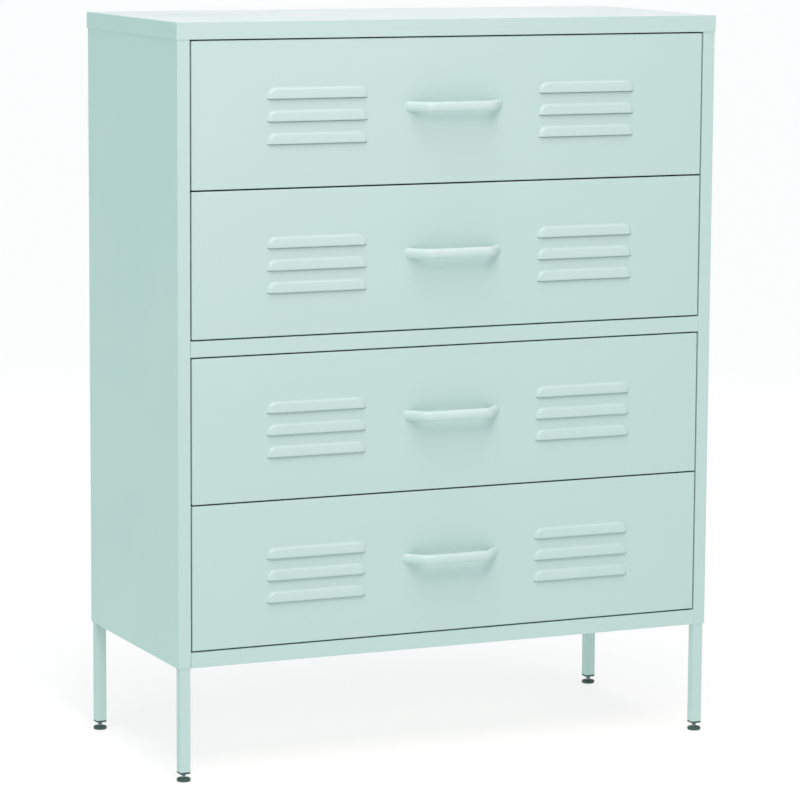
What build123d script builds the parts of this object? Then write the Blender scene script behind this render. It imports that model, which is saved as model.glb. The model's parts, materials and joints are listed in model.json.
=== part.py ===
from build123d import *
import os

# Steel chest of four louvred drawers on slim legs, in millimetres.
# X runs to the right as one faces the chest, the front looks towards -Y and Z is up.
# The origin is on the floor under the middle of the whole chest, handles included.

# Cabinet
overall_height = 1015.0
body_width = 800.0
body_depth = 350.0
leg_clearance = 155.0
top_lip_height = 22.5
top_return_depth = 20.0
centre_rail_height = 21.5
centre_rail_depth = 25.0
bottom_rail_height = 21.0
bottom_return_depth = 15.0
cabinet_sheet = 0.7
back_sheet = 0.6
back_margin = 2.0
fold_radius = 0.8
cap_clearance = 0.2
rail_clearance = 0.2
overrun = 5.0

# Legs, end plugs and levelling feet
leg_size = 15.0
leg_wall = 1.2
leg_corner_radius = 1.5
leg_insert = 60.0
leg_play = 1.6
plug_flange = 2.0
plug_insert = 16.0
plug_clearance = 0.1
plug_lead_in = 1.0
foot_pad_radius = 9.0
foot_pad_height = 4.0
foot_pad_edge = 0.8
foot_collar_radius = 5.0
foot_collar_height = 1.0
foot_gap = 6.3
stud_radius = 3.0
stud_length = 30.0

# Drawers
drawer_rows = 2
drawer_gap = 1.8
front_depth = 18.0
front_fold_radius = 1.0
drawer_sheet = 0.6
inner_flange = 12.0
box_lift = 16.0
box_drop = 30.0
box_back_gap = 29.0
box_hem = 8.0
box_tab = 8.0
back_tab = 12.0

# Pressed louvres of the drawer fronts
louvre_length = 145.0
louvre_height = 16.0
louvre_corner_radius = 13.0
louvre_projection = 4.5
louvre_slope_angle = 52.0
louvre_kerf = 1.2
louvre_pitch = 30.0
louvre_offset = 200.0
louvre_top_slit = 20.0
louvres_per_group = 3

# Bow handles
handle_foot_spacing = 131.0
handle_bar_length = 102.0
handle_projection = 28.0
handle_thickness = 8.0
handle_height = 12.0
handle_corner_radius = 3.4
handle_bend_radius = 14.0
handle_lift = 6.0
handle_hole_depth = 5.5
handle_screw_inset = 1.5

# Roller runners
runner_sheet = 1.2
runner_fold_radius = 0.6
channel_setback = 2.0
channel_back_gap = 15.0
channel_edge_gap = 1.8
channel_screw_step = 9.0
channel_screw_margin = 9.0
channel_rear_margin = 6.0
rail_reach = 10.0
rail_web_foot = 3.0
rail_end_gap = 2.0
rail_lift = 1.5
roller_radius = 9.0
roller_width = 6.0
roller_edge = 0.8
roller_play = 0.3
roller_bore_clearance = 0.1
axle_radius = 2.5
axle_head_radius = 3.8
axle_head_height = 0.8
axle_play = 0.1
axle_head_gap = 1.4
screw_head_gap = 0.3
front_roller_setback = 12.0
rear_roller_inset = 12.0

# Fasteners
screw_radius = 1.75
screw_head_radius = 3.5
screw_head_height = 1.2
screw_dome_share = 0.7
screw_grip = 3.0
leg_screw_radius = 2.5
leg_screw_head_radius = 4.5
leg_screw_head_height = 2.2
handle_screw_radius = 2.0
handle_screw_head_radius = 4.0
handle_screw_head_height = 2.0
hole_clearance = 0.1
back_screw_margin = 15.0
back_screw_height_shares = (0.0, 0.25, 0.5, 0.75)
rail_screw_place_shares = (0.2, 0.75)

# Places of the cabinet that follow from these sizes
cap_overhang = cabinet_sheet + cap_clearance
post_width = leg_size + leg_play + cabinet_sheet + cabinet_sheet
runner_front = front_depth + channel_setback
post_return = runner_front + front_roller_setback + channel_screw_step + channel_screw_margin
front_most = cap_overhang - handle_projection
back_most = body_depth + screw_head_height
cap_front = -(front_most + back_most) / 2
cap_back = cap_front + body_depth
cap_half = body_width / 2
side_outer = cap_half - cap_overhang
web_inner = side_outer - cabinet_sheet
post_inner = side_outer - post_width
front_plane = cap_front + cap_overhang
back_plane = cap_back - cap_overhang
rear_plane = back_plane - back_sheet
cabinet_top = overall_height - cabinet_sheet
lip_bottom = overall_height - top_lip_height
lower_opening = leg_clearance + bottom_rail_height
opening_height = (lip_bottom - centre_rail_height - lower_opening) / 2
rail_bottom = lower_opening + opening_height
upper_opening = rail_bottom + centre_rail_height

# Places of the drawers
front_half = post_inner - drawer_gap
front_height = (opening_height - drawer_gap) / drawer_rows - drawer_gap
drawer_pitch = front_height + drawer_gap
drawer_bottoms = [
    opening + drawer_gap + row * drawer_pitch
    for opening in (upper_opening, lower_opening)
    for row in reversed(range(drawer_rows))
]
roller_inset = runner_sheet + axle_head_gap + axle_head_height + axle_play
roller_outer = roller_inset + roller_width
axle_end = roller_outer + axle_play + axle_head_height
runner_space = axle_end + screw_head_gap + screw_head_height + runner_sheet
box_half = post_inner - runner_space
box_inner = box_half - drawer_sheet
box_front = front_plane + front_depth
box_back = rear_plane - box_back_gap
box_depth = box_back - box_front
box_top = front_height - box_drop
box_height = box_top - box_lift

# Places of the runners, measured outwards from the drawer's side and up from its box
channel_front = front_plane + runner_front
channel_back = rear_plane - channel_back_gap
channel_length = channel_back - channel_front
channel_opening = roller_play + roller_radius + roller_radius + roller_play
channel_top = channel_opening + runner_sheet
channel_web = runner_space - runner_sheet
channel_edge = runner_sheet + channel_edge_gap
rail_flange = channel_top + rail_lift
rail_top = rail_flange + runner_sheet
rail_back = box_back - rail_end_gap
rail_length = rail_back - box_front
front_roller_height = rail_flange - roller_play - roller_radius
rear_roller_height = roller_play + roller_radius
front_roller_y = channel_front + front_roller_setback
rear_roller_y = rail_back - rear_roller_inset
channel_screw_ys = (front_roller_y + channel_screw_step, channel_back - channel_rear_margin)

# The handle's centre line: where it meets the face, and how far it leans out sideways for each step back
handle_rise = handle_projection - handle_thickness / 2
handle_foot = handle_foot_spacing / 2
handle_lean = (handle_foot - handle_bar_length / 2) / handle_rise
handle_centre = front_height / 2 + handle_lift

# Places of the legs and feet
foot_height = foot_pad_height + foot_collar_height
leg_bottom = foot_height + foot_gap + plug_flange
leg_top = leg_clearance + leg_insert
leg_near = post_inner + cabinet_sheet
leg_screw_height = leg_clearance + bottom_rail_height / 2
leg_x = leg_near + leg_size / 2
front_leg_y = front_plane + cabinet_sheet + leg_size / 2
rear_leg_y = rear_plane - cabinet_sheet - leg_size / 2
leg_places = {
    "front_left": (-leg_x, front_leg_y),
    "front_right": (leg_x, front_leg_y),
    "rear_left": (-leg_x, rear_leg_y),
    "rear_right": (leg_x, rear_leg_y),
}


def block(x_span, y_span, z_span):
    """Box between two values on each axis."""
    low, high = zip(x_span, y_span, z_span)
    sizes = [top - bottom for bottom, top in zip(low, high)]
    return Pos(*low) * Box(*sizes, align=Align.MIN)


def rod(start, direction, radius, length):
    """Round bar that leaves the start point along a direction."""
    upright = (Align.CENTER, Align.CENTER, Align.MIN)
    return Plane(origin=start, z_dir=direction) * Cylinder(radius, length, align=upright)


def drill(start, direction, radius, depth):
    """Cutter for a screw hole that starts a little outside the piece."""
    way = Vector(*direction)
    return rod(Vector(*start) - way * overrun, direction, radius + hole_clearance, depth + overrun)


def screw(seat, direction, sizes, length):
    """Domed screw whose head rests on the seat and whose shank runs along the direction."""
    shank_radius, head_radius, head_height = sizes
    crown = head_radius * screw_dome_share
    shoulder = head_height * (1 - screw_dome_share)
    outline = Polyline(
        (0, -head_height), (crown, -head_height), (head_radius, -shoulder), (head_radius, 0),
        (shank_radius, 0), (shank_radius, length), (0, length), close=True,
    )
    turned = revolve(Plane.XZ * make_face(outline), Axis.Z)
    return Plane(origin=seat, z_dir=direction) * turned


def folded_profile(corners, thickness, radius):
    """Face of a sheet with square folds: corners give its outer side, and its metal lies to their left."""
    outer = [Vector(*corner) for corner in corners]
    ways = [(end - start).normalized() for start, end in zip(outer, outer[1:])]
    lefts = [Vector(-way.Y, way.X) for way in ways]
    shifts = [lefts[0]] + [before + after for before, after in zip(lefts, lefts[1:])] + [lefts[-1]]
    inner = [point + shift * thickness for point, shift in zip(outer, shifts)]
    outer_line = FilletPolyline(*outer, radius=radius + thickness)
    inner_line = FilletPolyline(*inner, radius=radius)
    ends = [Line(outer[0], inner[0]), Line(outer[-1], inner[-1])]
    return make_face([*outer_line.edges(), *inner_line.edges(), *ends])


def mirrored(shape):
    """The same piece on the other side of the chest."""
    return mirror(shape, about=Plane.YZ)


def both_sides(shapes):
    """A list of pieces and their mirror images."""
    return shapes + [mirrored(shape) for shape in shapes]


def keep(name, shape):
    """Write one node: a single solid, or a group of separate solids."""
    pieces = shape if isinstance(shape, list) else [shape]
    solids = [solid for piece in pieces for solid in piece.solids()]
    export_step(Compound(solids) if len(solids) > 1 else solids[0], f"parts/{name}.step")


small_screw = (screw_radius, screw_head_radius, screw_head_height)
leg_screw = (leg_screw_radius, leg_screw_head_radius, leg_screw_head_height)
handle_screw = (handle_screw_radius, handle_screw_head_radius, handle_screw_head_height)
right_way = (1, 0, 0)
left_way = (-1, 0, 0)
front_way = (0, -1, 0)
back_way = (0, 1, 0)

# Screw places of the cabinet's right side, each with the face that its head rests on
flange_middle = post_inner + post_width / 2
back_screw_low = leg_top + back_screw_margin
back_screw_seats = [
    (flange_middle, back_plane, back_screw_low + share * (lip_bottom - back_screw_low))
    for share in back_screw_height_shares
]
top_screw_seat = (flange_middle, cap_back, lip_bottom + top_lip_height / 2)
centre_screw_seat = (
    post_inner - cabinet_sheet,
    front_plane + centre_rail_depth / 2,
    rail_bottom + centre_rail_height / 2,
)
leg_screw_seats = [
    (post_inner - cabinet_sheet, leg_y, leg_screw_height)
    for leg_y in (front_leg_y, rear_leg_y)
]
channel_screw_seats = [
    (box_half + channel_web, screw_y, bottom + box_lift + rear_roller_height)
    for bottom in drawer_bottoms
    for screw_y in channel_screw_ys
]

# Screw places of a drawer, with its lower edge at height zero: the handle's two, then the right side's
handle_screw_seats = [
    (side * (handle_foot - handle_screw_inset), front_plane + drawer_sheet, handle_centre)
    for side in (-1, 1)
]
rail_middle = box_lift + (rail_web_foot + rail_flange) / 2
rail_screw_seats = [
    (box_inner, box_front + share * rail_length, rail_middle)
    for share in rail_screw_place_shares
]


def top_panel():
    """Cap folded down on all four sides, with a stiffening return behind its front lip."""
    edge_radius = cap_clearance + cabinet_sheet
    outer = block((-cap_half, cap_half), (cap_front, cap_back), (lip_bottom, overall_height))
    top_edges = outer.faces().sort_by(Axis.Z)[-1].edges()
    outer = fillet([*top_edges, *outer.edges().filter_by(Axis.Z)], edge_radius)
    hollow = block(
        (-cap_half + cabinet_sheet, cap_half - cabinet_sheet),
        (cap_front + cabinet_sheet, cap_back - cabinet_sheet),
        (lip_bottom - overrun, cabinet_top),
    )
    hollow_edges = hollow.faces().sort_by(Axis.Z)[-1].edges()
    hollow = fillet([*hollow_edges, *hollow.edges().filter_by(Axis.Z)], cap_clearance)
    return_half = post_inner - rail_clearance
    front_return = block(
        (-return_half, return_half),
        (cap_front + cabinet_sheet, cap_front + top_return_depth),
        (lip_bottom, lip_bottom + cabinet_sheet),
    )
    hole = drill(top_screw_seat, front_way, screw_radius, cabinet_sheet + overrun)
    return outer - hollow + front_return - both_sides([hole])


def side_panel():
    """Right side in one sheet: a hollow front post, the outer wall and a hollow rear post."""
    profile = folded_profile(
        [
            (post_inner, front_plane + post_return),
            (post_inner, front_plane),
            (side_outer, front_plane),
            (side_outer, rear_plane),
            (post_inner, rear_plane),
            (post_inner, rear_plane - post_return),
        ],
        cabinet_sheet,
        fold_radius,
    )
    panel = Pos(0, 0, leg_clearance) * extrude(profile, cabinet_top - leg_clearance)
    holes = [drill(seat, front_way, screw_radius, post_return / 2) for seat in back_screw_seats]
    holes.append(drill(top_screw_seat, front_way, screw_radius, post_return / 2))
    holes.append(drill(centre_screw_seat, right_way, screw_radius, post_width / 2))
    holes += [drill(seat, right_way, leg_screw_radius, post_width / 2) for seat in leg_screw_seats]
    holes += [drill(seat, right_way, screw_radius, post_width / 2) for seat in channel_screw_seats]
    return panel - holes


def back_panel():
    """Flat sheet screwed to the rear posts, its top edge tucked under the cap's rear lip."""
    panel = block(
        (back_margin - side_outer, side_outer - back_margin),
        (rear_plane, back_plane),
        (leg_clearance + back_margin, cabinet_top - back_margin),
    )
    holes = [drill(seat, front_way, screw_radius, back_sheet + overrun) for seat in back_screw_seats]
    holes.append(drill(top_screw_seat, front_way, screw_radius, back_sheet + overrun))
    return panel - both_sides(holes)


def bottom_panel():
    """Floor pan with notched corners for the posts; its front wall is the bottom rail."""
    top = leg_clearance + bottom_rail_height

    def plan(inset, z_span):
        """The pan's outline, drawn in by an inset, between two heights."""
        reach = web_inner - inset
        slab = block((-reach, reach), (front_plane + inset, rear_plane - inset), z_span)
        notch_x = (post_inner - inset, side_outer + overrun)
        front_notch_y = (front_plane - overrun, front_plane + post_return + rail_clearance + inset)
        rear_notch_y = (rear_plane - post_return - rail_clearance - inset, rear_plane + overrun)
        tall = (z_span[0] - overrun, z_span[1] + overrun)
        return slab - both_sides([block(notch_x, notch_y, tall) for notch_y in (front_notch_y, rear_notch_y)])

    pan = plan(0, (leg_clearance, top)) - plan(cabinet_sheet, (leg_clearance + cabinet_sheet, top + overrun))
    front_return = block(
        (-post_inner, post_inner),
        (front_plane, front_plane + bottom_return_depth),
        (top - cabinet_sheet, top),
    )
    pan = pan + front_return
    front_edges = pan.edges().filter_by(Axis.X).group_by(Axis.Y)[0]
    pan = fillet(front_edges, fold_radius / 2)
    holes = [drill(seat, right_way, leg_screw_radius, cabinet_sheet + overrun) for seat in leg_screw_seats]
    return pan - both_sides(holes)


def centre_rail():
    """Channel between the front posts, with a screwed tab at each end."""
    rail_top_edge = rail_bottom + centre_rail_height
    profile = folded_profile(
        [
            (front_plane + centre_rail_depth, rail_top_edge),
            (front_plane, rail_top_edge),
            (front_plane, rail_bottom),
            (front_plane + centre_rail_depth, rail_bottom),
        ],
        cabinet_sheet,
        fold_radius,
    )
    channel = extrude(Plane.YZ * profile, post_inner, both=True)
    tab = block(
        (post_inner - cabinet_sheet, post_inner),
        (front_plane + cabinet_sheet, front_plane + centre_rail_depth),
        (rail_bottom + cabinet_sheet, rail_top_edge - cabinet_sheet),
    )
    hole = drill(centre_screw_seat, right_way, screw_radius, cabinet_sheet + overrun)
    return channel + both_sides([tab]) - both_sides([hole])


def leg_tube(place_x, place_y):
    """Square tube that stands in the hollow post and carries the chest."""
    tube = Rectangle(leg_size, leg_size)
    tube = fillet(tube.vertices(), leg_corner_radius)
    bore_size = leg_size - leg_wall - leg_wall
    tube = tube - Rectangle(bore_size, bore_size)
    leg = Pos(place_x, place_y, leg_bottom) * extrude(tube, leg_top - leg_bottom)
    inward = -1 if place_x > 0 else 1
    start = (place_x + inward * leg_size / 2, place_y, leg_screw_height)
    return leg - drill(start, (-inward, 0, 0), leg_screw_radius, leg_size / 2)


def end_plug(place_x, place_y):
    """Plastic plug that closes the tube and holds the foot's stud."""
    flange = fillet(Rectangle(leg_size, leg_size).vertices(), leg_corner_radius)
    insert_size = leg_size - 2 * (leg_wall + plug_clearance)
    insert = extrude(Rectangle(insert_size, insert_size), plug_insert)
    insert = chamfer(insert.faces().sort_by(Axis.Z)[-1].edges(), plug_lead_in)
    plug = extrude(flange, -plug_flange) + insert
    bore = drill((0, 0, -plug_flange), (0, 0, 1), stud_radius, plug_flange + plug_insert + overrun)
    return Pos(place_x, place_y, leg_bottom) * (plug - bore)


def levelling_foot(place_x, place_y):
    """Round pad with a threaded stud, turned as one piece."""
    outline = Polyline(
        (0, 0),
        (foot_pad_radius - foot_pad_edge, 0),
        (foot_pad_radius, foot_pad_edge),
        (foot_pad_radius, foot_pad_height - foot_pad_edge),
        (foot_pad_radius - foot_pad_edge, foot_pad_height),
        (foot_collar_radius, foot_height),
        (stud_radius, foot_height),
        (stud_radius, foot_height + stud_length),
        (0, foot_height + stud_length),
        close=True,
    )
    return Pos(place_x, place_y, 0) * revolve(Plane.XZ * make_face(outline), Axis.Z)


def louvre_form(centre_x, slit_height, depth):
    """Sloped hood and its mirror image below the slit, sunk by a depth behind the drawer's face."""
    face = Plane(origin=(centre_x, front_plane + depth, slit_height), x_dir=right_way, z_dir=front_way)
    outline = face * RectangleRounded(louvre_length, 2 * louvre_height, louvre_corner_radius)
    return extrude(outline, louvre_projection, taper=louvre_slope_angle) + extrude(outline, -overrun)


def drawer_front():
    """Pan-shaped louvred front, with its lower edge at height zero."""
    edge_radius = front_fold_radius + drawer_sheet
    pan = block((-front_half, front_half), (front_plane, box_front), (0, front_height))
    pan = fillet(pan.faces().sort_by(Axis.Y)[0].edges(), edge_radius)
    hollow = block(
        (drawer_sheet - front_half, front_half - drawer_sheet),
        (front_plane + drawer_sheet, box_front + overrun),
        (drawer_sheet, front_height - drawer_sheet),
    )
    hollow = fillet(hollow.faces().sort_by(Axis.Y)[0].edges(), front_fold_radius)
    hoods = []
    slots = []
    for centre_x in (-louvre_offset, louvre_offset):
        for row in range(louvres_per_group):
            slit = front_height / 2 + louvre_top_slit - row * louvre_pitch
            x_span = (centre_x - louvre_length, centre_x + louvre_length)
            above = block(x_span, (front_plane - front_depth, front_plane), (slit, slit + front_height))
            through = block(
                x_span,
                (front_plane - front_depth, box_front),
                (slit - louvre_kerf, slit + front_height),
            )
            hoods.append(louvre_form(centre_x, slit, 0) & above)
            slots.append(louvre_form(centre_x, slit, drawer_sheet) & through)
    hole_depth = drawer_sheet + overrun
    holes = [drill(seat, front_way, handle_screw_radius, hole_depth) for seat in handle_screw_seats]
    return pan - hollow + hoods - slots - holes


def inner_front():
    """Flanged sheet that closes the front pan and carries the box."""
    half = front_half - drawer_sheet
    low = drawer_sheet
    high = front_height - drawer_sheet
    pan = block((-half, half), (box_front - inner_flange, box_front), (low, high))
    pan = fillet(pan.faces().sort_by(Axis.Y)[-1].edges(), front_fold_radius + drawer_sheet)
    hollow = block(
        (drawer_sheet - half, half - drawer_sheet),
        (box_front - inner_flange - overrun, box_front - drawer_sheet),
        (low + drawer_sheet, high - drawer_sheet),
    )
    hollow = fillet(hollow.faces().sort_by(Axis.Y)[-1].edges(), front_fold_radius)
    return pan - hollow


def drawer_side():
    """Right side of the box, with a hemmed rim, a flange under the bottom and a tab on the inner front."""
    profile = folded_profile(
        [
            (box_half - box_hem, box_lift),
            (box_half, box_lift),
            (box_half, box_top),
            (box_half - box_hem, box_top),
        ],
        drawer_sheet,
        fold_radius,
    )
    side = Pos(0, box_back, 0) * extrude(Plane.XZ * profile, box_depth)
    tab = block(
        (box_half - box_tab, box_inner),
        (box_front, box_front + drawer_sheet),
        (box_lift + box_hem, box_top - box_hem),
    )
    holes = [drill(seat, right_way, screw_radius, drawer_sheet + overrun) for seat in rail_screw_seats]
    return side + tab - holes


def drawer_bottom():
    """Flat sheet that lies on the flanges of the two sides."""
    half = box_inner - fold_radius
    level = box_lift + drawer_sheet
    return block((-half, half), (box_front, box_back), (level, level + drawer_sheet))


def drawer_back():
    """Rear wall of the box, with a tab turned back along each side."""
    wall_y = box_back - back_tab
    profile = folded_profile(
        [
            (-box_inner, box_back),
            (-box_inner, wall_y),
            (box_inner, wall_y),
            (box_inner, box_back),
        ],
        drawer_sheet,
        fold_radius,
    )
    low = box_lift + drawer_sheet + fold_radius
    high = box_top - drawer_sheet - fold_radius
    return Pos(0, 0, low) * extrude(profile, high - low)


def bow_handle():
    """Bar bent out from the drawer's face, cut flush where its feet meet the sheet."""
    bar_y = front_plane - handle_projection + handle_thickness / 2
    bar_half = handle_bar_length / 2
    path = FilletPolyline(
        (-handle_foot - handle_lean * overrun, front_plane + overrun, handle_centre),
        (-bar_half, bar_y, handle_centre),
        (bar_half, bar_y, handle_centre),
        (handle_foot + handle_lean * overrun, front_plane + overrun, handle_centre),
        radius=handle_bend_radius,
    )
    start = Plane(origin=path @ 0, z_dir=path % 0, x_dir=(0, 0, 1))
    section = start * RectangleRounded(handle_height, handle_thickness, handle_corner_radius)
    bar = sweep(section, path)
    behind = block(
        (-handle_foot_spacing, handle_foot_spacing),
        (front_plane, box_front),
        (handle_centre - handle_height, handle_centre + handle_height),
    )
    holes = [drill(seat, front_way, handle_screw_radius, handle_hole_depth) for seat in handle_screw_seats]
    return bar - behind - holes


def drawer_rail():
    """Right angle rail on the drawer's side: its flange runs on the cabinet's front roller."""
    profile = folded_profile(
        [
            (box_half + rail_reach, box_lift + rail_top),
            (box_half, box_lift + rail_top),
            (box_half, box_lift + rail_web_foot),
        ],
        runner_sheet,
        runner_fold_radius,
    )
    rail = Pos(0, rail_back, 0) * extrude(Plane.XZ * profile, rail_length)
    holes = [drill(seat, right_way, screw_radius, runner_space / 2) for seat in rail_screw_seats]
    axle_start = (box_half, rear_roller_y, box_lift + rear_roller_height)
    holes.append(drill(axle_start, right_way, axle_radius, runner_space / 2))
    return rail - holes


def cabinet_channel():
    """Right runner channel on the posts; its upper flange ends behind the front roller."""
    profile = folded_profile(
        [
            (box_half + channel_edge, box_lift - runner_sheet),
            (box_half + runner_space, box_lift - runner_sheet),
            (box_half + runner_space, box_lift + channel_top),
            (box_half + channel_edge, box_lift + channel_top),
        ],
        runner_sheet,
        runner_fold_radius,
    )
    channel = Pos(0, channel_back, 0) * extrude(Plane.XZ * profile, channel_length)
    cut_back = block(
        (box_half, box_half + channel_web),
        (channel_front - overrun, front_roller_y + roller_radius + channel_setback),
        (box_lift + front_roller_height, box_lift + channel_top + overrun),
    )
    web_face = box_half + channel_web
    screw_starts = [(web_face, screw_y, box_lift + rear_roller_height) for screw_y in channel_screw_ys]
    holes = [drill(start, right_way, screw_radius, runner_space) for start in screw_starts]
    axle_start = (web_face, front_roller_y, box_lift + front_roller_height)
    holes.append(drill(axle_start, right_way, axle_radius, runner_space))
    return channel - cut_back - holes


def roller(place_y, height):
    """Plastic wheel on a cross axle."""
    wheel = rod((box_half + roller_inset, place_y, box_lift + height), right_way, roller_radius, roller_width)
    wheel = chamfer(wheel.edges().filter_by(GeomType.CIRCLE), roller_edge)
    bore_start = (box_half, place_y, box_lift + height)
    return wheel - rod(bore_start, right_way, axle_radius + roller_bore_clearance, runner_space)


def axle(place_y, height, from_web, length_to_head):
    """Riveted pin: it leaves the web at one end and its head keeps the roller on at the other."""
    way = right_way if length_to_head > from_web else left_way
    length = abs(length_to_head - from_web)
    start = (box_half + from_web, place_y, box_lift + height)
    head_start = (box_half + length_to_head, place_y, box_lift + height)
    return rod(start, way, axle_radius, length) + rod(head_start, way, axle_head_radius, axle_head_height)


def raised(shape, height):
    """A drawer piece set at its drawer's height."""
    return Pos(0, 0, height) * shape


os.makedirs("parts", exist_ok=True)

# The cabinet's pieces
right_side = side_panel()
keep("top_panel", top_panel())
keep("side_panel_right", right_side)
keep("side_panel_left", mirrored(right_side))
keep("back_panel", back_panel())
keep("bottom_panel", bottom_panel())
keep("centre_rail", centre_rail())

# Screws of the cabinet's right side: back panel, cap, centre rail, runner channels and legs
side_screws = [screw(seat, front_way, small_screw, back_sheet + screw_grip) for seat in back_screw_seats]
side_screws.append(screw(top_screw_seat, front_way, small_screw, cap_overhang + back_sheet + screw_grip))
side_screws.append(screw(centre_screw_seat, right_way, small_screw, cabinet_sheet + screw_grip))
channel_grip = runner_sheet + screw_grip
side_screws += [screw(seat, right_way, small_screw, channel_grip) for seat in channel_screw_seats]
leg_grip = cabinet_sheet + cabinet_sheet + leg_wall + screw_grip
side_screws += [screw(seat, right_way, leg_screw, leg_grip) for seat in leg_screw_seats]

# The legs and feet
for corner, place in leg_places.items():
    keep(f"leg_{corner}", leg_tube(*place))
    keep(f"levelling_foot_{corner}", levelling_foot(*place))
keep("leg_end_plugs", [end_plug(*place) for place in leg_places.values()])

# Pieces of one drawer, with its lower edge at height zero
front = drawer_front()
inner = inner_front()
sides = both_sides([drawer_side()])
floor_sheet = drawer_bottom()
rear_wall = drawer_back()
handle = bow_handle()
rails = both_sides([drawer_rail()])
channels = both_sides([cabinet_channel()])
front_rollers = both_sides([roller(front_roller_y, front_roller_height)])
rear_rollers = both_sides([roller(rear_roller_y, rear_roller_height)])
front_axles = both_sides([axle(front_roller_y, front_roller_height, runner_space, roller_inset - axle_play)])
rear_axles = both_sides([axle(rear_roller_y, rear_roller_height, 0, roller_outer + axle_play)])
rail_screws = [screw(seat, right_way, small_screw, drawer_sheet + runner_sheet) for seat in rail_screw_seats]
handle_grip = drawer_sheet + screw_grip
handle_screws = [screw(seat, front_way, handle_screw, handle_grip) for seat in handle_screw_seats]
fasteners = both_sides(rail_screws) + handle_screws + rear_axles

# The four drawers and their runners, counted from the top
cabinet_fasteners = both_sides(side_screws)
for number, bottom in enumerate(drawer_bottoms, start=1):
    keep(f"drawer_{number}_front", raised(front, bottom))
    keep(f"drawer_{number}_inner_front", raised(inner, bottom))
    keep(f"drawer_{number}_sides", [raised(piece, bottom) for piece in sides])
    keep(f"drawer_{number}_bottom", raised(floor_sheet, bottom))
    keep(f"drawer_{number}_back", raised(rear_wall, bottom))
    keep(f"drawer_{number}_handle", raised(handle, bottom))
    keep(f"drawer_{number}_fasteners", [raised(piece, bottom) for piece in fasteners])
    keep(f"drawer_{number}_rails", [raised(piece, bottom) for piece in rails])
    keep(f"drawer_{number}_rear_rollers", [raised(piece, bottom) for piece in rear_rollers])
    keep(f"runner_{number}_channels", [raised(piece, bottom) for piece in channels])
    keep(f"runner_{number}_front_rollers", [raised(piece, bottom) for piece in front_rollers])
    cabinet_fasteners += [raised(piece, bottom) for piece in front_axles]
keep("cabinet_fasteners", cabinet_fasteners)
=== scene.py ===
import json
import math
import bpy
import numpy as np
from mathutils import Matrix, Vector


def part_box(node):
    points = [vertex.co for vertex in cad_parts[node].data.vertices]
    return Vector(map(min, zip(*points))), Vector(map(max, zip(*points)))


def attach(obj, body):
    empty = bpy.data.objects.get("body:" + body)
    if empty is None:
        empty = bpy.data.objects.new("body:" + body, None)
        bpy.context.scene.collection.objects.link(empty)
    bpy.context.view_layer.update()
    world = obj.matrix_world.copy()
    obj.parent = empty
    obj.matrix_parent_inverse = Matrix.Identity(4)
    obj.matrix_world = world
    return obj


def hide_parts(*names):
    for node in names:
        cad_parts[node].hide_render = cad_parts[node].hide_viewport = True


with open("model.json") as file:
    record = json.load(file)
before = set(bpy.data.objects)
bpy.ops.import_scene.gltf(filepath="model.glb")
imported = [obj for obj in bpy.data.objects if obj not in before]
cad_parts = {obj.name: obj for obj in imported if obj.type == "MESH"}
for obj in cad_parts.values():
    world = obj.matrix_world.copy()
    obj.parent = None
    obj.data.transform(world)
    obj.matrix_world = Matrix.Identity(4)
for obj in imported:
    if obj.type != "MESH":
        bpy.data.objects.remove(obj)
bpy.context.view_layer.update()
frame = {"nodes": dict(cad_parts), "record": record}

# Mint steel chest of four louvred drawers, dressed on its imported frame.
# Metres; the front looks towards -Y, Z is up, and the feet stand on Z = 0.
nodes = frame["nodes"]
drawerNumbers = (1, 2, 3, 4)
cornerNames = ("front_left", "front_right", "rear_left", "rear_right")
print("frame loaded:", len(nodes), "nodes")


# meshes from arrays

def gridFaces(rows, columns, closed=False):
    # quads between neighbouring rows and columns of a point grid; closed joins the last column to the first
    row = np.arange(rows - 1)[:, None] * columns
    column = np.arange(columns if closed else columns - 1)[None, :]
    after = (column + 1) % columns
    quads = np.stack([row + column, row + after, row + columns + after, row + columns + column], axis=-1)
    return quads.reshape(-1, 4)


def weld(points, quads):
    # points that share a place become one; a quad with a repeated corner becomes a triangle
    samePlace = 1e-7
    keys = np.round(points / samePlace).astype(np.int64)
    _, first, owner = np.unique(keys, axis=0, return_index=True, return_inverse=True)
    quads = owner.reshape(-1)[quads]
    repeats = quads == np.roll(quads, -1, axis=1)
    whole = quads[~repeats.any(axis=1)]
    broken = repeats.sum(axis=1) == 1
    triangles = quads[broken][~repeats[broken]].reshape(-1, 3)
    return points[first], whole.tolist() + triangles.tolist()


def addPiece(name, points, faces, body, slotName, sharp, stands=(), edge=None):
    # a smooth piece in its slot's finish, creased where faces meet at more than the sharp angle (degrees);
    # edge marks where a painted highlight pales the colour
    mesh = bpy.data.meshes.new(name)
    mesh.from_pydata(points.tolist(), [], faces)
    mesh.polygons.foreach_set("use_smooth", np.ones(len(mesh.polygons), dtype=bool))
    mesh.set_sharp_from_angle(angle=math.radians(sharp))
    if edge is not None:
        layer = mesh.attributes.new("paintedHighlight", "FLOAT", "POINT")
        layer.data.foreach_set("value", edge.astype(np.float32))
    mesh.materials.append(finishes[slotName])
    piece = bpy.data.objects.new(name, mesh)
    bpy.context.scene.collection.objects.link(piece)
    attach(piece, body)
    if stands:
        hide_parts(*stands)
    return piece


# shared shader effects

def newGroup(name, inputs, outputs):
    group = bpy.data.node_groups.new(name, "ShaderNodeTree")
    for label, kind, value in inputs:
        socket = group.interface.new_socket(name=label, in_out="INPUT", socket_type=kind)
        if value is not None:
            socket.default_value = value
    for label, kind in outputs:
        group.interface.new_socket(name=label, in_out="OUTPUT", socket_type=kind)
    entry = group.nodes.new("NodeGroupInput")
    leave = group.nodes.new("NodeGroupOutput")
    return group, entry.outputs, leave.inputs


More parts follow.
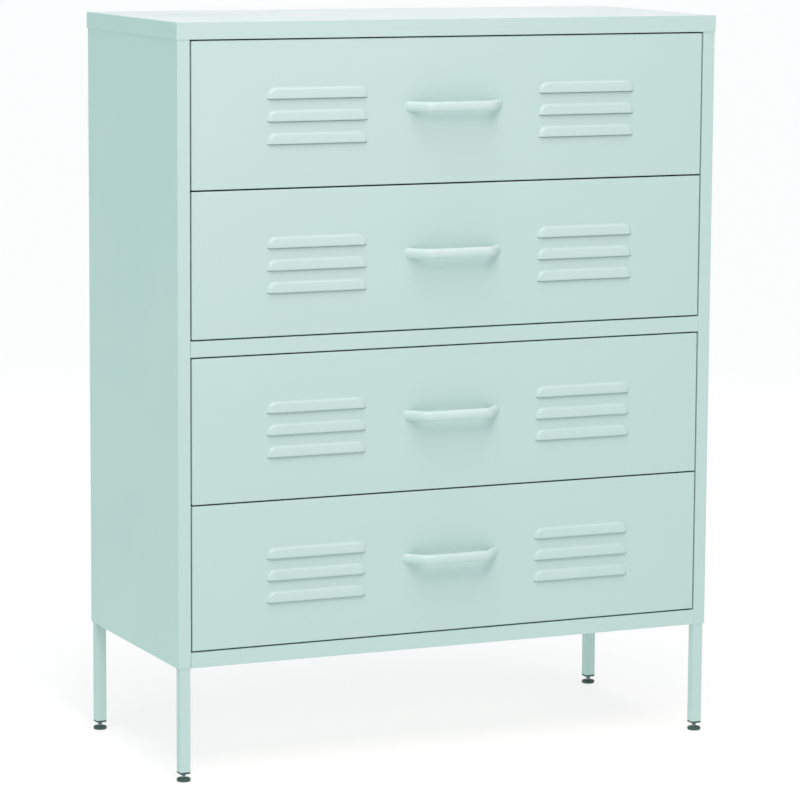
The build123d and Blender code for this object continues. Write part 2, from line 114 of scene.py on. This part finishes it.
def wire(tree, pairs):
    for start, end in pairs:
        tree.links.new(start, end)


def mathNode(tree, operation, first, second):
    node = tree.nodes.new("ShaderNodeMath")
    node.operation = operation
    for socket, value in zip(node.inputs, (first, second)):
        if isinstance(value, (int, float)):
            socket.default_value = value
        else:
            tree.links.new(value, socket)
    return node.outputs[0]


def noiseNode(tree, vector, scale, detail, roughness=0.5):
    node = tree.nodes.new("ShaderNodeTexNoise")
    tree.links.new(vector, node.inputs["Vector"])
    if isinstance(scale, (int, float)):
        node.inputs["Scale"].default_value = scale
    else:
        tree.links.new(scale, node.inputs["Scale"])
    node.inputs["Detail"].default_value = detail
    node.inputs["Roughness"].default_value = roughness
    return node.outputs["Fac"]


def mixColour(tree, factor, first, second):
    node = tree.nodes.new("ShaderNodeMix")
    node.data_type = "RGBA"
    tree.links.new(factor, node.inputs["Factor"])
    for socket, value in zip((node.inputs["A"], node.inputs["B"]), (first, second)):
        if isinstance(value, tuple):
            socket.default_value = value
        else:
            tree.links.new(value, socket)
    return node.outputs["Result"]


def makeOrangePeel():
    # the fine ripple of a sprayed or moulded skin, riding on a slow wave of the sheet below it
    group, given, result = newGroup(
        "orangePeel",
        [("Vector", "NodeSocketVector", None), ("Ripple Scale", "NodeSocketFloat", 700.0),
         ("Wave Scale", "NodeSocketFloat", 6.0), ("Wave Share", "NodeSocketFloat", 4.0)],
        [("Height", "NodeSocketFloat")],
    )
    ripple = noiseNode(group, given["Vector"], given["Ripple Scale"], detail=2.0)
    wave = noiseNode(group, given["Vector"], given["Wave Scale"], detail=1.0)
    lifted = mathNode(group, "MULTIPLY", wave, given["Wave Share"])
    wire(group, [(mathNode(group, "ADD", ripple, lifted), result["Height"])])
    return group


def makeHandling():
    # soft patches where hands and cloths have been: a cloud noise stretched between two roughness values
    group, given, result = newGroup(
        "handling",
        [("Vector", "NodeSocketVector", None), ("Patch Scale", "NodeSocketFloat", 9.0),
         ("Smooth", "NodeSocketFloat", 0.36), ("Rough", "NodeSocketFloat", 0.46)],
        [("Roughness", "NodeSocketFloat"), ("Patches", "NodeSocketFloat")],
    )
    patches = noiseNode(group, given["Vector"], given["Patch Scale"], detail=4.0, roughness=0.6)
    lowest, highest = 0.3, 0.7  # the noise seldom leaves this span
    span = group.nodes.new("ShaderNodeMapRange")
    span.inputs["From Min"].default_value = lowest
    span.inputs["From Max"].default_value = highest
    wire(group, [
        (patches, span.inputs["Value"]),
        (given["Smooth"], span.inputs["To Min"]),
        (given["Rough"], span.inputs["To Max"]),
        (span.outputs["Result"], result["Roughness"]),
        (patches, result["Patches"]),
    ])
    return group


def makeFilmTone():
    # pigment that is never quite even: two tones mixed by a slow noise and a fine speckle
    group, given, result = newGroup(
        "filmTone",
        [("Vector", "NodeSocketVector", None),
         ("Light", "NodeSocketColor", None), ("Deep", "NodeSocketColor", None),
         ("Cloud Scale", "NodeSocketFloat", 3.0), ("Speckle Scale", "NodeSocketFloat", 420.0)],
        [("Color", "NodeSocketColor")],
    )
    cloud = noiseNode(group, given["Vector"], given["Cloud Scale"], detail=3.0)
    speckle = noiseNode(group, given["Vector"], given["Speckle Scale"], detail=1.0)
    cloudShare, speckleShare = 0.65, 0.35
    clouded = mathNode(group, "MULTIPLY", cloud, cloudShare)
    speckled = mathNode(group, "MULTIPLY", speckle, speckleShare)
    blend = mathNode(group, "ADD", clouded, speckled)
    wire(group, [(mixColour(group, blend, given["Light"], given["Deep"]), result["Color"])])
    return group


orangePeel = makeOrangePeel()
handling = makeHandling()
filmTone = makeFilmTone()


# materials

def useGroup(tree, group, vector, values):
    node = tree.nodes.new("ShaderNodeGroup")
    node.node_tree = group
    tree.links.new(vector, node.inputs["Vector"])
    for label, value in values.items():
        node.inputs[label].default_value = value
    return node.outputs


def skinMaterial(name, look):
    # a solid colour skin: toned pigment, patchy gloss and a fine bump
    material = bpy.data.materials.new(name)
    material.use_nodes = True
    tree = material.node_tree
    shader = tree.nodes["Principled BSDF"]
    place = tree.nodes.new("ShaderNodeTexCoord").outputs["Object"]
    tone = useGroup(tree, filmTone, place, look["tone"])
    gloss = useGroup(tree, handling, place, look["gloss"])
    peel = useGroup(tree, orangePeel, place, look["peel"])
    bump = tree.nodes.new("ShaderNodeBump")
    bump.inputs["Strength"].default_value = look["bumpStrength"]
    bump.inputs["Distance"].default_value = look["bumpDistance"]
    colour = tone["Color"]
    if "highlightColour" in look:  # painted highlight: the colour is mixed in patches towards a paler one where the piece marks it
        edge = tree.nodes.new("ShaderNodeAttribute")
        edge.attribute_name = "paintedHighlight"
        highlightAmount = mathNode(tree, "MULTIPLY", edge.outputs["Fac"], gloss["Patches"])
        colour = mixColour(tree, highlightAmount, colour, look["highlightColour"])
    wire(tree, [
        (colour, shader.inputs["Base Color"]),
        (gloss["Roughness"], shader.inputs["Roughness"]),
        (peel["Height"], bump.inputs["Height"]),
        (bump.outputs["Normal"], shader.inputs["Normal"]),
    ])
    for label, value in look.get("sockets", {}).items():
        shader.inputs[label].default_value = value
    return material


mintLook = {
    "tone": {"Light": (0.536, 0.696, 0.664, 1.0), "Deep": (0.508, 0.676, 0.642, 1.0)},
    "gloss": {"Smooth": 0.36, "Rough": 0.44},
    "peel": {"Ripple Scale": 650.0, "Wave Scale": 5.0, "Wave Share": 6.0},
    "bumpStrength": 0.5,
    "bumpDistance": 0.00003,
    # the paler colour that the painted highlight mixes in
    "highlightColour": (0.70, 0.80, 0.78, 1.0),
}
zincLook = {
    "tone": {"Light": (0.70, 0.71, 0.73, 1.0), "Deep": (0.55, 0.57, 0.60, 1.0), "Cloud Scale": 45.0},
    "gloss": {"Smooth": 0.26, "Rough": 0.44, "Patch Scale": 60.0},
    "peel": {"Ripple Scale": 1500.0, "Wave Scale": 12.0, "Wave Share": 2.0},
    "bumpStrength": 0.4,
    "bumpDistance": 0.00002,
    "sockets": {"Metallic": 1.0},
}
blackLook = {
    "tone": {"Light": (0.044, 0.100, 0.086, 1.0), "Deep": (0.032, 0.078, 0.066, 1.0), "Cloud Scale": 60.0},
    "gloss": {"Smooth": 0.42, "Rough": 0.6, "Patch Scale": 80.0},
    "peel": {"Ripple Scale": 2200.0, "Wave Scale": 90.0, "Wave Share": 1.0},
    "bumpStrength": 0.6,
    "bumpDistance": 0.00005,
}
nylonLook = {
    "tone": {"Light": (0.80, 0.80, 0.77, 1.0), "Deep": (0.70, 0.70, 0.66, 1.0), "Cloud Scale": 90.0},
    "gloss": {"Smooth": 0.34, "Rough": 0.5, "Patch Scale": 120.0},
    "peel": {"Ripple Scale": 1800.0, "Wave Scale": 150.0, "Wave Share": 1.0},
    "bumpStrength": 0.4,
    "bumpDistance": 0.00003,
}
finishes = {
    "powder_coat": skinMaterial("mintPowderCoat", mintLook),
    "zinc_steel": skinMaterial("brightZinc", zincLook),
    "black_plastic": skinMaterial("blackPlastic", blackLook),
    "roller_nylon": skinMaterial("rollerNylon", nylonLook),
}
for row in frame["record"]["subparts"]:
    mesh = nodes[row["node"]].data
    mesh.materials.clear()
    mesh.materials.append(finishes[row["material_slot"]])
print("materials placed:", ", ".join(finishes))


# drawer fronts

frontLook = {
    "sheet": 0.0006,
    "trim": 0.00015,       # the painted front is this much smaller, each side, than the plain one
    "edgeRadius": 0.0016,
    "edgeSteps": 6,
    "louvreLength": 0.145,
    "louvreHeight": 0.016,
    "press": 0.0031,       # at the lip
    "topSlope": 0.0044,    # width of the slope along a hood's top edge
    "endSlope": 0.0052,    # and along its two ends
    "roundness": 2.6,      # corner of the outline, in widths of the slopes
    "tilt": 0.3,           # share of the press that a hood gains slowly towards its lip
    "ease": 0.75,          # 0 keeps the fold lines crisp, 1 rounds them fully
    "kerf": 0.0005,        # the lip is sheared from the sheet, so the cut itself is thin
    "guard": 0.0005,       # flat margin outside each louvre, so that its shading stays its own
    "pitch": 0.030,
    "offset": 0.200,
    "topSlit": 0.020,      # above the middle of the drawer
    "perGroup": 3,
    "endColumns": 34,      # over each end of a louvre
    "middleColumns": 8,    # between its ends
    "lipRows": (0.12, 0.24),  # two rows over the lip, in shares of a hood's height
    "slopeFrom": 0.34,     # the close rows run from this share up to its top
    "slopeRows": 24,
    "decimals": 9,         # stops that agree to here are one
    "slopeHighlight": 0.6,      # strength of the painted highlight on a hood's slopes; the rolled edge has 1
    "sharp": 50.0,
}


def louvrePlaces(look, height):
    slits = [height / 2 + look["topSlit"] - row * look["pitch"] for row in range(look["perGroup"])]
    return [(side * look["offset"], slit) for side in (-1, 1) for slit in slits]


def pressedHeight(x, z, look, height):
    # height of the pressed hoods over the flat sheet: the distances in from a hood's end and from its top
    # edge, each in widths of its slope, are rounded together at the corner; that share is eased at foot and
    # crest, tilted a little towards the lip and scaled to the press; nothing below the slit is pressed
    total = np.zeros(np.broadcast(x, z).shape)
    corner = look["roundness"]
    for middle, slit in louvrePlaces(look, height):
        down = look["louvreHeight"] - (z - slit)
        fromEnd = (look["louvreLength"] / 2 - np.abs(x - middle)) / look["endSlope"]
        missing = np.hypot(np.maximum(corner - fromEnd, 0), np.maximum(corner - down / look["topSlope"], 0))
        share = np.clip(corner - missing, 0, 1)
        eased = share + look["ease"] * (share * share * (3 - 2 * share) - share)
        tilted = 1 - look["tilt"] * (1 - np.clip(down / look["louvreHeight"], 0, 1))
        total = total + np.where(z > slit - look["kerf"] / 2, look["press"] * eased * tilted, 0)
    return total


def frontStops(look, half, height):
    # columns and rows of the face: close together over the louvres' ends and slopes, wide apart elsewhere
    reach = look["louvreLength"] / 2
    busy = look["roundness"] * look["endSlope"] + look["press"]
    fine = np.append(np.linspace(reach - busy, reach, look["endColumns"]), reach + look["guard"])
    middle = np.linspace(-fine[0], fine[0], look["middleColumns"])[1:-1]
    group = np.concatenate([-fine[::-1], middle, fine])
    inset = look["edgeRadius"]
    edges = [inset - half, half - inset]
    columns = np.concatenate([edges, [0], group - look["offset"], group + look["offset"]])
    cut, guard, top = look["kerf"], look["guard"], look["louvreHeight"]
    lip = np.array(look["lipRows"]) * top
    slope = np.linspace(look["slopeFrom"], 1, look["slopeRows"]) * top
    rise = np.concatenate([[-cut - guard, -cut, 0], lip, slope, [top + guard]])
    slits = [slit for _, slit in louvrePlaces(look, height)[:look["perGroup"]]]
    rows = np.concatenate([[inset, height - inset]] + [slit + rise for slit in slits])
    return np.unique(np.round(columns, look["decimals"])), np.unique(np.round(rows, look["decimals"]))


def rimPath(columns, rows, steps):
    # once round the face, clockwise from the front: points on its edge, and the way out from each;
    # at a corner the way out swings through a quarter turn
    turn = np.linspace(0, np.pi / 2, steps + 1)[1:-1]
    runs = [
        (np.full_like(rows, columns[0]), rows, np.pi),
        (columns, np.full_like(columns, rows[-1]), np.pi / 2),
        (np.full_like(rows, columns[-1]), rows[::-1], 0.0),
        (columns[::-1], np.full_like(columns, rows[0]), -np.pi / 2),
    ]
    x = np.concatenate([np.append(runX, np.full_like(turn, runX[-1])) for runX, runZ, angle in runs])
    z = np.concatenate([np.append(runZ, np.full_like(turn, runZ[-1])) for runX, runZ, angle in runs])
    out = np.concatenate([np.append(np.full_like(runX, angle), angle - turn) for runX, runZ, angle in runs])
    return x, z, out


def makeDrawerFront(number, look):
    node = f"drawer_{number}_front"
    low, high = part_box(node)
    half, base = high.x - look["trim"], low.z + look["trim"]
    height = high.z - low.z - 2 * look["trim"]
    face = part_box(f"drawer_{number}_handle")[1].y  # the handle's feet stand on the flat face
    columns, rows = frontStops(look, half, height)
    x, z = np.meshgrid(columns, rows)
    lift = pressedHeight(x, z, look, height)
    facePoints = np.stack([x, face - lift, z + base], axis=-1).reshape(-1, 3)
    faceQuads = gridFaces(len(rows), len(columns))
    middleX = x.reshape(-1)[faceQuads].mean(axis=1)
    middleZ = z.reshape(-1)[faceQuads].mean(axis=1)
    slot = np.zeros(len(faceQuads), dtype=bool)
    for centre, slit in louvrePlaces(look, height):
        alongSlit = np.abs(middleX - centre) < look["louvreLength"] / 2
        slot |= alongSlit & (np.abs(middleZ - slit + look["kerf"] / 2) < look["kerf"] / 2)
    # the rim: a quarter round from the face to the flange, then straight back, carried round the edge
    pathX, pathZ, out = rimPath(columns, rows, look["edgeSteps"])
    bend = np.linspace(0, np.pi / 2, look["edgeSteps"] + 1)
    radius = look["edgeRadius"]
    away = np.concatenate([radius * np.sin(bend), [radius]])[:, None]
    back = np.concatenate([face + radius * (1 - np.cos(bend)), [high.y]])[:, None]
    rimX = pathX + away * np.cos(out)
    rimZ = pathZ + away * np.sin(out) + base
    rimPoints = np.stack([rimX, np.broadcast_to(back, rimX.shape), rimZ], axis=-1).reshape(-1, 3)
    rimQuads = gridFaces(len(away), len(pathX), closed=True) + len(facePoints)
    quads = np.concatenate([faceQuads[~slot], rimQuads])
    points, faces = weld(np.concatenate([facePoints, rimPoints]), quads)
    # painted highlight on the rolled edge and, most half way up, on the hoods' slopes, where light catches
    # them: four times the lifted share times the rest
    lifted = np.clip((face - points[:, 1]) / look["press"], 0, 1)
    rolled = np.clip((points[:, 1] - face) / radius, 0, 1) * (points[:, 1] < face + 2 * radius)
    edge = np.maximum(rolled, 4 * lifted * (1 - lifted) * look["slopeHighlight"])
    piece = addPiece(f"drawerFront{number}", points, faces, f"drawer_{number}", "powder_coat",
                     look["sharp"], [node], edge)
    wall = piece.modifiers.new("sheet", "SOLIDIFY")
    wall.thickness = look["sheet"]
    wall.offset = -1
    wall.use_even_offset = True
    return piece


for number in drawerNumbers:
    makeDrawerFront(number, frontLook)
print("drawer fronts pressed")


# bow handles

handleLook = {
    "footSpacing": 0.131,
    "barLength": 0.092,
    "thickness": 0.0105,
    "swell": 0.001,        # the rounded bar stands this much over the plain one, above and below
    "fullness": 2.4,       # 2 is an ellipse, more is squarer
    "topHighlight": (-0.4, 1.5),   # painted highlight, from none on the underside to most on the top, where light from above falls
    "bendRadius": 0.017,
    "bendSteps": 18,
    "around": 40,
    "sharp": 60.0,
}


def roundBar(halfA, halfB, fullness, around):
    # a superellipse: cosine and sine of the turn, each raised to two over the fullness, keep their signs
    turn = np.linspace(0, 2 * np.pi, around, endpoint=False)
    a = halfA * np.sign(np.cos(turn)) * np.abs(np.cos(turn)) ** (2 / fullness)
    b = halfB * np.sign(np.sin(turn)) * np.abs(np.sin(turn)) ** (2 / fullness)
    return a, b


def makeHandle(number, look):
    node = f"drawer_{number}_handle"
    low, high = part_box(node)
    face, middle = high.y, (low.z + high.z) / 2
    rise = high.y - low.y - look["thickness"] / 2
    spread = (look["footSpacing"] - look["barLength"]) / 2
    # centre line: straight leg, arc, straight bar, arc, straight leg; the heading swings from -lean to lean
    lean = math.atan2(rise, spread)
    tangent = look["bendRadius"] * math.tan(lean / 2)
    headings = np.linspace(-lean, 0, look["bendSteps"] + 1)
    startX = -look["barLength"] / 2 - tangent * math.cos(lean)
    startY = -rise + tangent * math.sin(lean)
    arcX = startX + look["bendRadius"] * (np.sin(headings) + math.sin(lean))
    arcY = startY - look["bendRadius"] * (np.cos(headings) - math.cos(lean))
    centreX = np.concatenate([[-look["footSpacing"] / 2], arcX, -arcX[::-1], [look["footSpacing"] / 2]])
    centreY = np.concatenate([[0], arcY, arcY[::-1], [0]])
    heading = np.concatenate([[-lean], headings, -headings[::-1], [lean]])
    halfHeight = (high.z - low.z) / 2 + look["swell"]
    sideA, sideB = roundBar(look["thickness"] / 2, halfHeight, look["fullness"], look["around"])
    x = centreX[:, None] - sideA * np.sin(heading)[:, None]
    y = centreY[:, None] + sideA * np.cos(heading)[:, None]
    # the two end rings slide along the legs until they lie on the drawer's face
    ends = [0, -1]
    slide = -y[ends] / np.sin(heading[ends])[:, None]
    x[ends] += slide * np.cos(heading[ends])[:, None]
    y[ends] = 0
    z = np.broadcast_to(sideB, x.shape)
    points = np.stack([x, face + y, middle + z], axis=-1).reshape(-1, 3)
    rings, around = x.shape
    quads = gridFaces(rings, around, closed=True)
    caps = [list(range(around))[::-1], list(range((rings - 1) * around, rings * around))]
    # painted highlight: the colour pales towards the bar's top
    edge = np.interp(z, (-halfHeight, halfHeight), look["topHighlight"]).reshape(-1)
    return addPiece(f"bowHandle{number}", points, quads.tolist() + caps, f"drawer_{number}", "powder_coat",
                    look["sharp"], [node], edge)


for number in drawerNumbers:
    makeHandle(number, handleLook)
print("handles bent")


# levelling feet

footLook = {
    "padSwell": 0.0004,    # the pad's rounded rim stands this much over the plain disc
    "padHeight": 0.0044,
    "edgeRound": 0.0014,
    "edgeSteps": 7,
    "collarRadius": 0.005,
    "collarHeight": 0.0006,
    "studRadius": 0.003,
    "threadDepth": 0.00045,
    "threadPitch": 0.001,
    "around": 48,
    "studAround": 24,
    "rowsPerTurn": 8,
    "padSharp": 35.0,
    "studSharp": 60.0,
}


def lathePoints(radius, height, around, x, y):
    # a profile of radius against height, turned once about the vertical through (x, y)
    angle = np.linspace(0, 2 * np.pi, around, endpoint=False)
    wide = radius[:, None] if radius.ndim == 1 else radius
    across = x + wide * np.cos(angle)
    along = y + wide * np.sin(angle)
    tall = np.broadcast_to(height[:, None], across.shape)
    return np.stack([across, along, tall], axis=-1).reshape(-1, 3)


def makeFoot(corner, look):
    node = f"levelling_foot_{corner}"
    low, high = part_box(node)
    x, y = (low.x + high.x) / 2, (low.y + high.y) / 2
    radius = (high.x - low.x) / 2 + look["padSwell"]
    edge = look["edgeRound"]
    turn = np.linspace(0, np.pi / 2, look["edgeSteps"])
    top = look["padHeight"] + look["collarHeight"]
    # pad: flat under, two rounded edges, a shallow cone up to the collar
    padRadius = np.concatenate([
        [0.0], radius - edge + edge * np.sin(turn), radius - edge + edge * np.cos(turn),
        [look["collarRadius"], look["studRadius"] - look["threadDepth"], 0.0]])
    padHeight = np.concatenate([
        [0.0], edge - edge * np.cos(turn), look["padHeight"] - edge + edge * np.sin(turn),
        [top, top, top]])
    points = lathePoints(padRadius, padHeight + low.z, look["around"], x, y)
    points, faces = weld(points, gridFaces(len(padRadius), look["around"], closed=True))
    addPiece(f"footPad_{corner}", points, faces, f"foot_{corner}", "black_plastic", look["padSharp"], [node])
    # stud: a round bar whose radius dips in a triangle wave that climbs one pitch each turn
    rise = np.arange(top, high.z - low.z, look["threadPitch"] / look["rowsPerTurn"])
    angle = np.linspace(0, 2 * np.pi, look["studAround"], endpoint=False)
    phase = (rise[:, None] / look["threadPitch"] - angle / (2 * np.pi)) % 1.0
    groove = look["studRadius"] - look["threadDepth"] * np.abs(2 * phase - 1)
    rings = np.concatenate([np.zeros((1, len(angle))), groove, np.zeros((1, len(angle)))])
    heights = np.concatenate([[rise[0]], rise, [rise[-1]]]) + low.z
    points = lathePoints(rings, heights, look["studAround"], x, y)
    points, faces = weld(points, gridFaces(len(heights), look["studAround"], closed=True))
    addPiece(f"footStud_{corner}", points, faces, f"foot_{corner}", "zinc_steel", look["studSharp"])


for corner in cornerNames:
    makeFoot(corner, footLook)
print("feet turned")


# end plugs of the legs

plugLook = {
    "flange": 0.0028,
    "edgeRound": 0.0009,
    "edgeSteps": 6,
    "fullness": 10.0,      # of the flange's outline, as for the handles' bars
    "insertHalf": 0.0055,
    "boreRadius": 0.0033,
    "around": 64,
    "sharp": 35.0,
}


def makePlugs(look):
    node = "leg_end_plugs"
    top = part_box(node)[1].z
    squareX, squareY = roundBar(1.0, 1.0, look["fullness"], look["around"])
    circleX, circleY = roundBar(1.0, 1.0, 2.0, look["around"])
    turn = np.linspace(0, np.pi / 2, look["edgeSteps"])
    allPoints, allQuads = [], []
    for corner in cornerNames:
        low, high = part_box(f"leg_{corner}")
        x, y, half = (low.x + high.x) / 2, (low.y + high.y) / 2, (high.x - low.x) / 2
        under = low.z - look["flange"]
        # once round the section: down the flange, over its rounded edge, up the bore, down the insert
        squareHalf = np.concatenate([[half], half - look["edgeRound"] * (1 - np.cos(turn))])
        squareHeight = np.concatenate([[low.z], under + look["edgeRound"] * (1 - np.sin(turn))])
        insert = [look["insertHalf"], look["insertHalf"], half]
        wide = np.concatenate([squareHalf, [look["boreRadius"]] * 2, insert])[:, None]
        tall = np.concatenate([squareHeight, [under, top], [top, low.z, low.z]])[:, None]
        inBore = wide == look["boreRadius"]
        across = x + wide * np.where(inBore, circleX, squareX)
        along = y + wide * np.where(inBore, circleY, squareY)
        points = np.stack([across, along, np.broadcast_to(tall, across.shape)], axis=-1).reshape(-1, 3)
        quads = gridFaces(len(wide), look["around"], closed=True)[:, ::-1]
        allQuads.append(quads + len(points) * len(allPoints))
        allPoints.append(points)
    points, faces = weld(np.concatenate(allPoints), np.concatenate(allQuads))
    return addPiece("legPlugs", points, faces, "cabinet", "black_plastic", look["sharp"], [node])


makePlugs(plugLook)
print("legs plugged")


# floor, light and camera

floorLook = {
    "colour": (0.35, 0.35, 0.35, 1.0),
    "roughness": 0.9,
    "gloss": 0.1,
    "glow": (0.717, 0.686, 0.684, 1.0),  # the floor is lit from within, as a light table is
    "reach": 60.0,
    "drop": 0.0003,        # under the feet
}
skyLook = {
    "left": (0.369, 0.667, 0.626, 1.0),
    "right": (0.330, 0.373, 0.407, 1.0),
}
lampLooks = {
    "overheadBox": {"kind": "AREA", "power": 2.7, "colour": (1.0, 0.869, 0.845), "size": 0.7,
                    "place": (-0.35, -0.9, 2.7), "aim": (0.0, -0.1, 0.9)},
    "keyBox": {"kind": "AREA", "power": 13.95, "colour": (1.0, 0.636, 0.646), "size": 0.7,
               "place": (-0.65, -1.75, 1.95), "aim": (-0.1, -0.16, 0.75)},
    "backPanel": {"kind": "AREA", "power": 19.1, "colour": (1.0, 0.711, 0.716), "size": 2.0,
                  "place": (1.4, 2.7, 2.1), "aim": (0.2, 0.0, 1.0)},
    "sunPanel": {"kind": "SUN", "power": 1.2, "colour": (1.0, 0.923, 0.934), "size": 40.0,
                 "place": (-0.3, -1.5, 4.0), "aim": (0.0, 0.0, 0.5)},
}
cameraLook = {
    "place": (-2.1493, -4.7509, 1.2311),
    "turn": (81.7525, -0.3403, -24.2441),
    "lens": 168.89,
    "sensor": 36.0,
    "far": 200.0,
}


def addFloor(look):
    side = np.array([-look["reach"], look["reach"]])
    x, y = np.meshgrid(side, side)
    points = np.stack([x, y, np.full_like(x, -look["drop"])], axis=-1).reshape(-1, 3)
    mesh = bpy.data.meshes.new("studioFloor")
    mesh.from_pydata(points.tolist(), [], gridFaces(2, 2)[:, ::-1].tolist())
    paint = bpy.data.materials.new("paleFloor")
    paint.use_nodes = True
    shader = paint.node_tree.nodes["Principled BSDF"]
    shader.inputs["Base Color"].default_value = look["colour"]
    shader.inputs["Roughness"].default_value = look["roughness"]
    shader.inputs["Specular IOR Level"].default_value = look["gloss"]
    shader.inputs["Emission Color"].default_value = look["glow"]
    shader.inputs["Emission Strength"].default_value = 1.0
    mesh.materials.append(paint)
    floor = bpy.data.objects.new("studioFloor", mesh)
    bpy.context.scene.collection.objects.link(floor)


def addSky(look):
    sky = bpy.data.worlds.new("studioSky")
    sky.use_nodes = True
    tree = sky.node_tree
    apart = tree.nodes.new("ShaderNodeSeparateXYZ")
    across = tree.nodes.new("ShaderNodeMapRange")
    across.inputs["From Min"].default_value = -1.0  # X runs from -1 at the left to 1 at the right
    wire(tree, [
        (tree.nodes.new("ShaderNodeTexCoord").outputs["Generated"], apart.inputs["Vector"]),
        (apart.outputs["X"], across.inputs["Value"]),
    ])
    wire(tree, [(mixColour(tree, across.outputs["Result"], look["left"], look["right"]),
                 tree.nodes["Background"].inputs["Color"])])
    bpy.context.scene.world = sky


def addLamp(name, look):
    light = bpy.data.lights.new(name, look["kind"])
    light.energy = look["power"]
    light.color = look["colour"]
    if look["kind"] == "SUN":
        light.angle = math.radians(look["size"])
    else:
        light.size = look["size"]
    lamp = bpy.data.objects.new(name, light)
    lamp.location = look["place"]
    lamp.rotation_euler = (Vector(look["aim"]) - Vector(look["place"])).to_track_quat("-Z", "Y").to_euler()
    lamp.visible_camera = False
    bpy.context.scene.collection.objects.link(lamp)


def addCamera(look):
    lens = bpy.data.cameras.new("photoCamera")
    lens.lens = look["lens"]
    lens.sensor_width = look["sensor"]
    lens.clip_end = look["far"]
    camera = bpy.data.objects.new("photoCamera", lens)
    camera.location = look["place"]
    camera.rotation_euler = [math.radians(angle) for angle in look["turn"]]
    bpy.context.scene.collection.objects.link(camera)
    bpy.context.scene.camera = camera


addFloor(floorLook)
addSky(skyLook)
for name, look in lampLooks.items():
    addLamp(name, look)
addCamera(cameraLook)
bpy.context.scene.view_settings.view_transform = "Standard"
print("studio lit")
